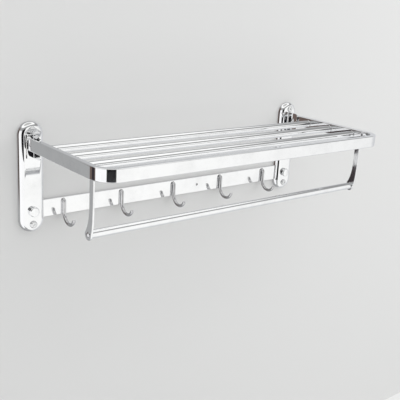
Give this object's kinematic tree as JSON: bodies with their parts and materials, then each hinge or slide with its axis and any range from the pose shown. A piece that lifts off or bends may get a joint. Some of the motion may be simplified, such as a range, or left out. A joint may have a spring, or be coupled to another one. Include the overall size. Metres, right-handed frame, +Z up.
{
  "type": "folding towel shelf",
  "caption": "Wall-mounted polished steel towel rack: tube shelf that folds up on hinge pins, towel bar below it and a hook rail between two rounded wall plates.",
  "frame": {"origin": "on the wall plane, midway between the two wall plates and level with the hook rail's centre line", "axes": "+X to the right as a user faces the wall, +Y into the wall, +Z up"},
  "size_m": [0.622, 0.245, 0.1849],
  "materials": {
    "mirror_steel": "mirror-polished stainless steel with fine wiping marks",
    "satin_steel": "turned and lightly polished stainless steel",
    "chrome": "bright plated caps",
    "nylon": "natural nylon"
  },
  "bodies": {
    "wall_side": {"hook_rail": "mirror_steel", "hook_1": "mirror_steel", "hook_2": "mirror_steel", "hook_3": "mirror_steel", "hook_4": "mirror_steel", "hook_5": "mirror_steel", "left_wall_plate": "mirror_steel", "left_hinge_bracket": "mirror_steel", "left_hinge_pin": "satin_steel", "left_hinge_washer": "nylon", "left_rail_stud": "satin_steel", "left_rail_bush": "satin_steel", "left_cap_nut": "chrome", "left_upper_screw": "satin_steel", "left_lower_screw": "satin_steel", "left_upper_bush": "satin_steel", "left_lower_bush": "satin_steel", "right_wall_plate": "mirror_steel", "right_hinge_bracket": "mirror_steel", "right_hinge_pin": "satin_steel", "right_hinge_washer": "nylon", "right_rail_stud": "satin_steel", "right_rail_bush": "satin_steel", "right_cap_nut": "chrome", "right_upper_screw": "satin_steel", "right_lower_screw": "satin_steel", "right_upper_bush": "satin_steel", "right_lower_bush": "satin_steel"},
    "shelf": {"shelf_frame": "mirror_steel", "shelf_tube_1": "mirror_steel", "shelf_tube_2": "mirror_steel", "shelf_tube_3": "mirror_steel", "towel_bar": "mirror_steel", "left_arm_plug": "nylon", "left_hanger": "mirror_steel", "left_bar_plug": "satin_steel", "left_bar_screw": "satin_steel", "right_arm_plug": "nylon", "right_hanger": "mirror_steel", "right_bar_plug": "satin_steel", "right_bar_screw": "satin_steel"}
  },
  "joints": [
    {"name": "shelf_fold", "type": "hinge", "parent": "wall_side", "child": "shelf", "pos_m": [0, -0.0243, 0.1148], "axis": [-1, 0, 0], "range_deg": [0, 90]}
  ]
}
